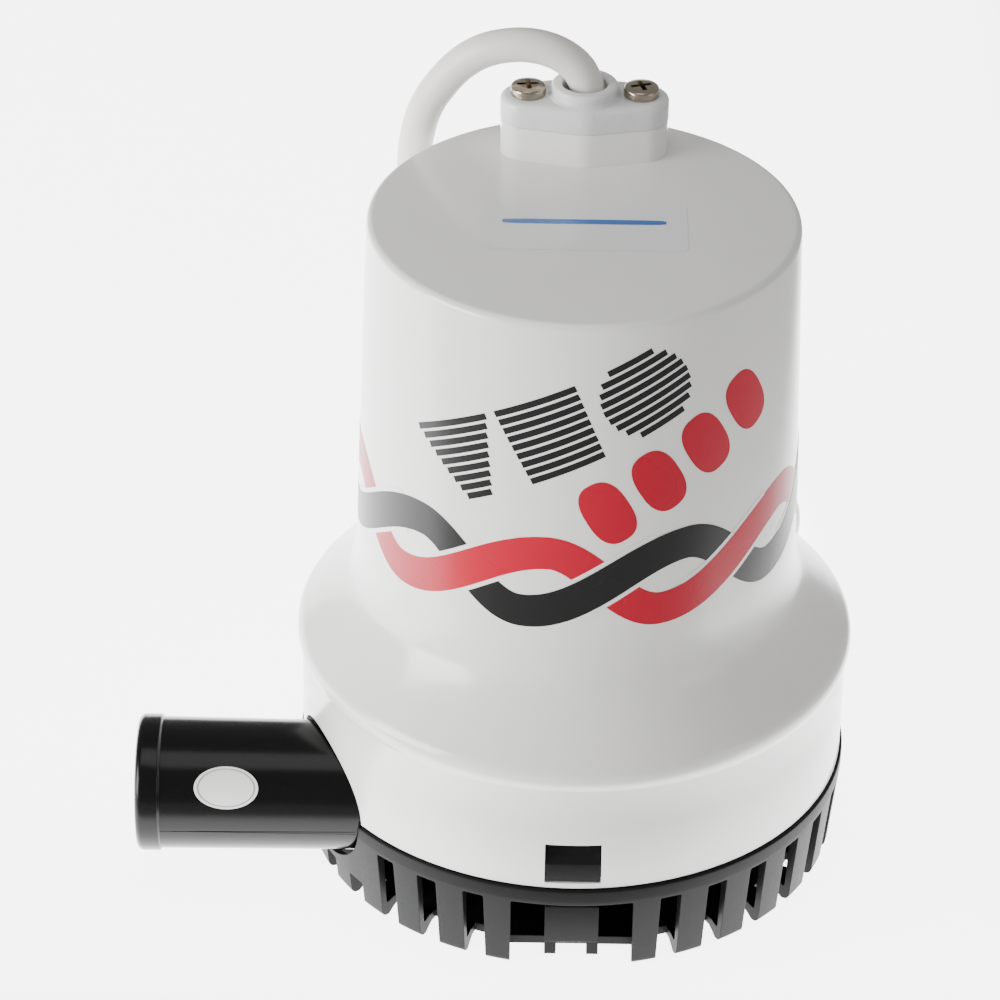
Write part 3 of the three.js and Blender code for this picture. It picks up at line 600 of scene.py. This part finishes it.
casing_screw = pan_screw("casing_screw", shank_r=1.5, shank_length=7.8, head_r=2.9, head_height=2.3)
hung = Matrix.Translation(Vector((CASING_SCREW_CIRCLE_R, 0, FLANGE_LOW_Z - 0.1)) * MM)
casing_screw.data.transform(hung @ Matrix.Rotation(math.pi, 4, "X"))
casing_screws = repeat_around("casing_screws", casing_screw, 4, 0, 90, nickel)
dress(casing_screws, nickel, "pump", "stainless", *[f"casing_screw_{i}" for i in (1, 2, 3, 4)])

# ---- strainer base -----------------------------------------------------------------------------
# The satin dark-grey base: a rim over slotted walls that stand on short feet, with a plate inside.
# Slots are evenly pitched on each side; the two under the outlet are short.

RIM_R = 79.8
RIM_Z = 29.1
FOOT_R = 77.3
SLOT_TOP_Z = 24.1
LOW_SLOT_TOP_Z = 8
SLOT_WIDTH = 6.3
SLOTS_PER_SIDE = 14
FIRST_SLOT = 20.6
PLATE_EDGE_R = 72
SLOT_ROOT_R = 69.3
PLATE_TOP_Z = 5.2
WELL_R = 53
WELL_FLOOR_Z = 3.6
PLATE_LOW_Z = 2.5
PAD_R = 12
LATCH_CUTOUT = 12.5
SHORT_SLOT_ANGLES = (50, 82)
OUTLET_NOTCH_R = 20.3
HULL_HOLE_CIRCLE_R = 42


def slot_tool(half, top_z):
    """A cutter for one slot, radial and to the front, with rounded top corners."""
    outline = rounded([(-half, -1), (half, -1), (half, top_z, 0.5), (-half, top_z, 0.5)], 3)
    return loft("slot", [[(x, y, z) for x, z in outline] for y in (-RIM_R - 3, -SLOT_ROOT_R)])


grey_nylon = material("grey_nylon", "0f0f10", 0.45, grain=1.2, relief=0.012, soften=0.45, shade=0.9,
                      gloss=0.12)

strainer = lathe("strainer", rounded([
    (0.5, 0), (PAD_R, 0, 0.4), (PAD_R, 1.0), (WELL_R, 1.0), (WELL_R + 2, PLATE_LOW_Z),
    (PLATE_EDGE_R - 0.6, PLATE_LOW_Z), (PLATE_EDGE_R + 1.2, 1.3, 1), (FOOT_R - 2.6, 0, 0.4), (FOOT_R, 0, 2),
    (RIM_R, SLOT_TOP_Z + 1, 2), (RIM_R, RIM_Z, 0.5), (RIM_R - WALL, RIM_Z, 0.3), (RIM_R - WALL, SLOT_TOP_Z),
    (RIM_R - WALL - 1, PLATE_TOP_Z - 1, 0.8), (PLATE_EDGE_R + 0.8, PLATE_TOP_Z), (WELL_R + 1, PLATE_TOP_Z),
    (WELL_R - 1, WELL_FLOOR_Z), (0.5, WELL_FLOOR_Z),
]), steps=360)
slot_pitch = (180 - 2 * FIRST_SLOT) / (SLOTS_PER_SIDE - 1)
short_from, short_to = SHORT_SLOT_ANGLES
short_slots = [k for k in range(SLOTS_PER_SIDE) if short_from < FIRST_SLOT + slot_pitch * k < short_to]
before = short_slots[0]
after = short_slots[-1] + 1
cutout = RIM_R * math.sin(math.radians(LATCH_CUTOUT))
rows = [
    (SLOT_WIDTH / 2, SLOT_TOP_Z, SLOTS_PER_SIDE, FIRST_SLOT, slot_pitch),
    (SLOT_WIDTH / 2, SLOT_TOP_Z, before, -FIRST_SLOT, -slot_pitch),
    (SLOT_WIDTH / 2, LOW_SLOT_TOP_Z, after - before, -FIRST_SLOT - slot_pitch * before, -slot_pitch),
    (SLOT_WIDTH / 2, SLOT_TOP_Z, SLOTS_PER_SIDE - after, -FIRST_SLOT - slot_pitch * after, -slot_pitch),
    (cutout, SLOT_TOP_Z, 2, 0, 180),
]
tools = [
    repeat_around(f"slots_{i}", slot_tool(half, top_z), count, first, pitch, grey_nylon)
    for i, (half, top_z, count, first, pitch) in enumerate(rows)
]
tools.append(turned_to_outlet(lathe("notch", [(OUTLET_NOTCH_R, 55), (OUTLET_NOTCH_R, 90)], steps=96)))
tools.append(box(
    "notch_top", (-90, OUTLET_Y - OUTLET_NOTCH_R, OUTLET_Z), (-55, OUTLET_Y + OUTLET_NOTCH_R, OUTLET_Z + 5),
))
hole = lathe("hull_hole", rounded([(2.6, -1), (2.6, 2.2), (4.6, 4.3)]), steps=40,
             centre=(HULL_HOLE_CIRCLE_R, 0))
tools.append(repeat_around("hull_holes", hole, 4, 45, 90, grey_nylon))
carved(strainer, tools)
dress(strainer, grey_nylon, "strainer", "grey_nylon", "strainer_base")

# ---- latch tabs --------------------------------------------------------------------------------
# Two spring tabs grow from the base plate, front and rear. Each has a pad to press and a hook that
# stands in the window of the skirt.

LATCH_HINGE_R = 68.6
LATCH_HINGE_Z = 6.6
LATCH_PAD_R = 78.4
LATCH_PAD_TOP_Z = 23
LATCH_HOOK_R = 78.7
LATCH_TOP_Z = 46.5
LATCH_FOOT_HALF_WIDTH = 1.65


def latch(name, flip):
    """A tab in the front position, or turned to the rear."""
    half = LATCH_HALF_WIDTH - GAP
    outer = SKIRT_R - WALL - 0.9
    inner = outer - 1.5
    foot_half = LATCH_FOOT_HALF_WIDTH
    outline = rounded([
        (LATCH_HINGE_R + 0.4, 7.4), (inner + 1, 9.7), (LATCH_PAD_R, 9.7, 0.8),
        (LATCH_PAD_R, LATCH_PAD_TOP_Z, 0.6), (outer, LATCH_PAD_TOP_Z), (outer, 31.7),
        (LATCH_HOOK_R, 31.7, 0.5), (LATCH_HOOK_R, 38, 0.6), (outer, 41), (outer, LATCH_TOP_Z),
        (inner, LATCH_TOP_Z), (inner, 12), (LATCH_HINGE_R - 0.6, 7.4),
    ], 3)
    tab = loft(name, [[(x, -r, z) for r, z in outline] for x in (-half, half)])
    root = lathe("root", [(1, -half), (1, half)], steps=24)
    hinge = Matrix.Translation(Vector((0, -LATCH_HINGE_R, LATCH_HINGE_Z)) * MM)
    root.data.transform(hinge @ Matrix.Rotation(math.pi / 2, 4, "Y"))
    feet = [
        box("foot", (x - foot_half, 0.2 - LATCH_PAD_R, 5.8), (x + foot_half, -inner - 1.2, 10))
        for x in (foot_half - half, half - foot_half)
    ]
    carved(tab, [root, *feet], "UNION")
    tab.data.transform(Matrix.Rotation(flip, 4, "Z"))
    return tab


dress(latch("tab_front", 0), grey_nylon, "latch_front", "grey_nylon", "latch_tab_front")
dress(latch("tab_rear", math.pi), grey_nylon, "latch_rear", "grey_nylon", "latch_tab_rear")

# ---- printed films -----------------------------------------------------------------------------
# Two ribbons, red and black, weave round the barrel. Above them are plain slanted blocks of stripes
# and red pills, and a small blue bar lies on the top under a clear label.

BAND_Z = 120.8
BAND_RISE = 9.6
BAND_HALF = 5.1
BAND_GAP = 1.3
BAND_PERIOD = 72
BLACK_LOW_ANGLE = -15
RISING_SHARE = 0.6
BARREL_MID_R = 61.8
FILM = 0.07


def on_barrel(angle, z, lift):
    """A point on the barrel, at an angle from the front towards +X, raised by lift."""
    r = barrel_r(z) + lift
    turn = math.radians(angle)
    return (r * math.sin(turn), -r * math.cos(turn), z)


def film(name, strips):
    """A thin printed film made of strips, each a list of equally long rows of points."""
    points = []
    faces = []
    for rows in strips:
        wide = len(rows[0])
        for k in range(len(rows) - 1):
            base = len(points) + k * wide
            faces += [(base + i, base + i + 1, base + wide + i + 1, base + wide + i) for i in range(wide - 1)]
        points += [p for row in rows for p in row]
    obj = mesh_object(name, points, faces)
    obj.data.shade_smooth()
    return obj


def wave(share):
    """The ribbon's centre at a share of its period: a long rise, then a short fall."""
    share %= 1
    if share < RISING_SHARE:
        return BAND_Z - BAND_RISE * math.cos(math.pi * share / RISING_SHARE)
    return BAND_Z + BAND_RISE * math.cos(math.pi * (share - RISING_SHARE) / (1 - RISING_SHARE))


def ribbon(first, last, half, lift, crest=0):
    """Rows of points across part of one period of a ribbon, half wide each side of its centre.
    Its lift rises by crest in the middle of the ribbon's rise."""
    arc = math.radians(BAND_PERIOD) * BARREL_LOW_R
    rows = []
    for share in np.linspace(first, last, 60):
        slope = (wave(share + 0.002) - wave(share - 0.002)) / (0.004 * arc)
        along = Vector((1, slope)).normalized()
        raised = lift + crest * math.sin(math.pi * min(share / RISING_SHARE, 1))
        row = []
        for v in np.linspace(-half, half, 9):
            angle = BAND_PERIOD * share + math.degrees(-along.y * v / BARREL_LOW_R)
            row.append(on_barrel(angle, wave(share) + along.x * v, raised))
        rows.append(row)
    return rows


red_film = material("red_print_film", "b20026", 0.28, grain=80, shade=1, gloss=0.3)
black_film = material("black_print_film", "100f0f", 0.28, grain=80, shade=1, gloss=0.3)
white_film = material("white_print_film", "e8e7e4", 0.2, coat=0.2, grain=80, shade=1)
blue_film = material("blue_print_film", "1c62b4", 0.25, coat=0.3, grain=80, shade=1)
grey_film = material("grey_print_film", "8f9294", 0.3, grain=80, shade=1)

for name, surface, low_angle in (
    ("black", black_film, BLACK_LOW_ANGLE),
    ("red", red_film, BLACK_LOW_ANGLE - BAND_PERIOD / 2),
):
    under = film("under", [ribbon(RISING_SHARE, 1, BAND_HALF, FILM)])
    margin = film("margin", [ribbon(0.1, RISING_SHARE - 0.1, BAND_HALF + BAND_GAP, 1.5 * FILM)])
    over = film("over", [ribbon(0, RISING_SHARE, BAND_HALF, FILM, crest=2 * FILM)])
    layers = (("fall", under, surface), ("margin", margin, white_film), ("rise", over, surface))
    for part, piece, paint in layers:
        copies = repeat_around(f"ribbon_{name}_{part}", piece, 5, low_angle, BAND_PERIOD, paint)
        dress(copies, paint, "pump", "white_abs")


def slanted(origin, slope, u, v):
    """A point of a slanted block on the barrel: u runs up the slope and v across it."""
    turn = math.radians(slope)
    arc = u * math.cos(turn) - v * math.sin(turn)
    angle = origin[0] + math.degrees(arc / BARREL_MID_R)
    return on_barrel(angle, origin[1] + u * math.sin(turn) + v * math.cos(turn), FILM)


STRIPE_COUNT = 9
STRIPE_PITCH = 2.7
STRIPE_HEIGHT = 1.9
BLOCK_ORIGIN = (-46.5, 159.7)
BLOCK_SLOPE = 26.1
DISC_CENTRE = 69.5
DISC_R = 13
stripes = []
for k in range(STRIPE_COUNT):
    top = -k * STRIPE_PITCH
    share = k / (STRIPE_COUNT - 1)
    edges = (top - STRIPE_HEIGHT, top - STRIPE_HEIGHT / 2, top)
    swell = DISC_R * math.sqrt(1 - (1.7 * share - 0.85) ** 2)
    wedge = (9 * share, 25 - 8 * share)
    block = (28 + 1.5 * share, 53 - 1.5 * share)
    disc = (DISC_CENTRE - swell, DISC_CENTRE + swell)
    for first, last in (wedge, block, disc):
        stripes.append([
            [slanted(BLOCK_ORIGIN, BLOCK_SLOPE, u, v) for v in edges] for u in np.linspace(first, last, 16)
        ])
dress(film("stripe_blocks", stripes), black_film, "pump", "white_abs")

PILL_ORIGIN = (6.8, 143.5)
PILL_SLOPE = 30
PILL_PITCH = 16.6
PILL_HALF_WIDTH = 6.4
PILL_HALF_HEIGHT = 10.2
PILL_POWER = 2.6
PILL_COUNT = 4
pills = []
for k in range(PILL_COUNT):
    rows = []
    for bend in [-math.cos(math.pi * t) for t in np.linspace(0, 1, 28)]:
        rows.append([
            slanted(PILL_ORIGIN, PILL_SLOPE, k * PILL_PITCH + PILL_HALF_WIDTH * bend,
                    v * PILL_HALF_HEIGHT * (1 - abs(bend) ** PILL_POWER) ** (1 / PILL_POWER))
            for v in np.linspace(-1, 1, 15)
        ])
    pills.append(rows)
dress(film("red_pills", pills), red_film, "pump", "white_abs")


def flat_strip(centre, half_length, half_width, z, power):
    """Pairs of points of a flat rounded bar on the top, squarer for a higher power."""
    pairs = []
    for t in np.linspace(0, 1, 40):
        u = -math.cos(math.pi * t)
        v = half_width * (1 - abs(u) ** power) ** (1 / power)
        pairs.append([(centre[0] + u * half_length, centre[1] + side * v, z) for side in (-1, 1)])
    return pairs


bar = film("blue_bar", [flat_strip((0, -3.2), 22.5, 1.3, HOUSING_TOP_Z + 2 * FILM, power=6)])
dress(bar, blue_film, "pump", "white_abs")
clear_film = material("clear_label_film", "e2e3e2", 0.12, grain=80, shade=1)
label = film("clear_label", [flat_strip((0, -6.2), 28.3, 12.7, HOUSING_TOP_Z + FILM, power=24)])
dress(label, clear_film, "pump", "white_abs")

# ---- sticker on the outlet ---------------------------------------------------------------------
# A blank white oval with a thin grey ring, wrapped on the front of the outlet.

STICKER_X = -99
STICKER_TURN = 31.6
STICKER_HALF_LENGTH = 9.2
STICKER_HALF_HEIGHT = 6.2


def oval(scale_out, scale_in, lift):
    """Pairs of points round an oval on the outlet, from its outer to its inner edge."""
    pairs = []
    for t in np.linspace(0, 2 * math.pi, 73):
        ends = []
        for scale in (scale_out, scale_in):
            turn = math.radians(STICKER_TURN) + scale * STICKER_HALF_HEIGHT * math.sin(t) / OUTLET_R
            r = OUTLET_R + lift
            ends.append((
                STICKER_X + scale * STICKER_HALF_LENGTH * math.cos(t),
                OUTLET_Y - r * math.cos(turn), OUTLET_Z + r * math.sin(turn),
            ))
        pairs.append(ends)
    return pairs


layers = [oval(outer, outer - 0.1, FILM) for outer in np.linspace(1, 0.1, 10)]
dress(film("sticker", layers), white_film, "pump", "black_abs")
dress(film("sticker_ring", [oval(0.9, 0.86, 2 * FILM)]), grey_film, "pump", "black_abs")

# ---- parts carried over ------------------------------------------------------------------------
# The sealed motor, the rotor and the seals keep their CAD shapes and take real materials.


def paint_node(node_name, surface):
    """Gives a node that keeps its CAD shape its material."""
    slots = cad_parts[node_name].data.materials
    slots.clear()
    slots.append(surface)


carried = {
    ("zinc_plated_steel", "a3a7a9", 0.34, 1): ["motor_can", "motor_bracket", "lower_bearing", "upper_bearing",
                                               "brush_spring_left", "brush_spring_right"],
    ("stainless_steel", "b3b1ab", 0.26, 1): ["rotor_shaft", "impeller_nut"],
    ("laminated_steel", "8a8d90", 0.4, 1): ["armature_core"],
    ("enamelled_copper", "b1622f", 0.32, 1): ["armature_winding", "commutator"],
    ("brass_sheet", "b08d4a", 0.3, 1): ["gland_washer"],
    ("nitrile_rubber", "1a1a1a", 0.7, 0): ["gland_grommet", "housing_o_ring", "shaft_seal"],
    ("ferrite_ceramic", "2e2e31", 0.65, 0): ["magnet_front", "magnet_rear"],
    ("pressed_carbon", "1d1d1f", 0.5, 0): ["brush_left", "brush_right"],
    ("phenolic_sheet", "6a4a2c", 0.5, 0): ["brush_card"],
}
for (name, code, roughness, metallic), nodes in carried.items():
    surface = material(name, code, roughness, metallic=metallic, grain=2, relief=0.01, soften=0.2, shade=0.85)
    for node_name in nodes:
        paint_node(node_name, surface)
for node_name, surface in (("impeller", black_abs), ("lead_brown", brown_pvc), ("lead_black", black_pvc)):
    paint_node(node_name, surface)

# ---- floor and light ---------------------------------------------------------------------------
# A light table: a white floor that glows under and behind the pump and fades out in front and at
# the right. A large soft light stands at the left, with weaker ones at the right and above.

FLOOR_GLOW = 5.5
GLOW_FRONT = (-0.14, -0.085)
GLOW_RIGHT = (0.3, 0.14)
ROOM_GLOW = 0.45
FLOOR_HALF = 6000
FLOOR_Z = -0.4

floor_paint = material("studio_floor", "f4f4f4", 0.8, grain=40)
glow = floor_paint.node_tree.nodes["Principled BSDF"]
glow.inputs["Emission Color"].default_value = (1, 1, 1, 1)
table = floor_paint.node_tree
place = add_node(table, "ShaderNodeTexCoord").outputs["Object"]
spot = add_node(table, "ShaderNodeSeparateXYZ", {"Vector": place})
shares = [
    add_node(table, "ShaderNodeMapRange", {
        "Value": spot.outputs[axis], "From Min": first, "From Max": last, "To Min": 0.0, "To Max": 1.0,
    }, interpolation_type="SMOOTHSTEP")
    for axis, first, last in (("Y", *GLOW_FRONT), ("X", *GLOW_RIGHT))
]
both = add_node(table, "ShaderNodeMath", {0: shares[0].outputs["Result"], 1: shares[1].outputs["Result"]},
                operation="MULTIPLY")
level = add_node(table, "ShaderNodeMath", {0: both.outputs[0], 1: FLOOR_GLOW}, operation="MULTIPLY")
table.links.new(level.outputs[0], glow.inputs["Emission Strength"])
corners = [(x * FLOOR_HALF, y * FLOOR_HALF, FLOOR_Z) for x, y in ((-1, -1), (1, -1), (1, 1), (-1, 1))]
floor = mesh_object("floor", corners, [(0, 1, 2, 3)])
floor.data.materials.append(floor_paint)

world = bpy.data.worlds.new("studio")
world.use_nodes = True
background = world.node_tree.nodes["Background"]
background.inputs["Color"].default_value = (1, 1, 1, 1)
background.inputs["Strength"].default_value = ROOM_GLOW
bpy.context.scene.world = world


def soft_light(name, place, size, power):
    """A square area light at a place in metres, aimed at the middle of the pump."""
    data = bpy.data.lights.new(name, "AREA")
    data.size = size
    data.energy = power
    lamp = bpy.data.objects.new(name, data)
    bpy.context.scene.collection.objects.link(lamp)
    lamp.location = place
    lamp.rotation_euler = (Vector((0, 0, 0.1)) - Vector(place)).to_track_quat("-Z", "Y").to_euler()


soft_light("key", (-1.6, -0.7, 0.5), size=1.0, power=56)
soft_light("fill", (1.6, -0.9, 0.5), size=0.8, power=3)
soft_light("top", (-0.2, -0.5, 2.0), size=1.0, power=7)
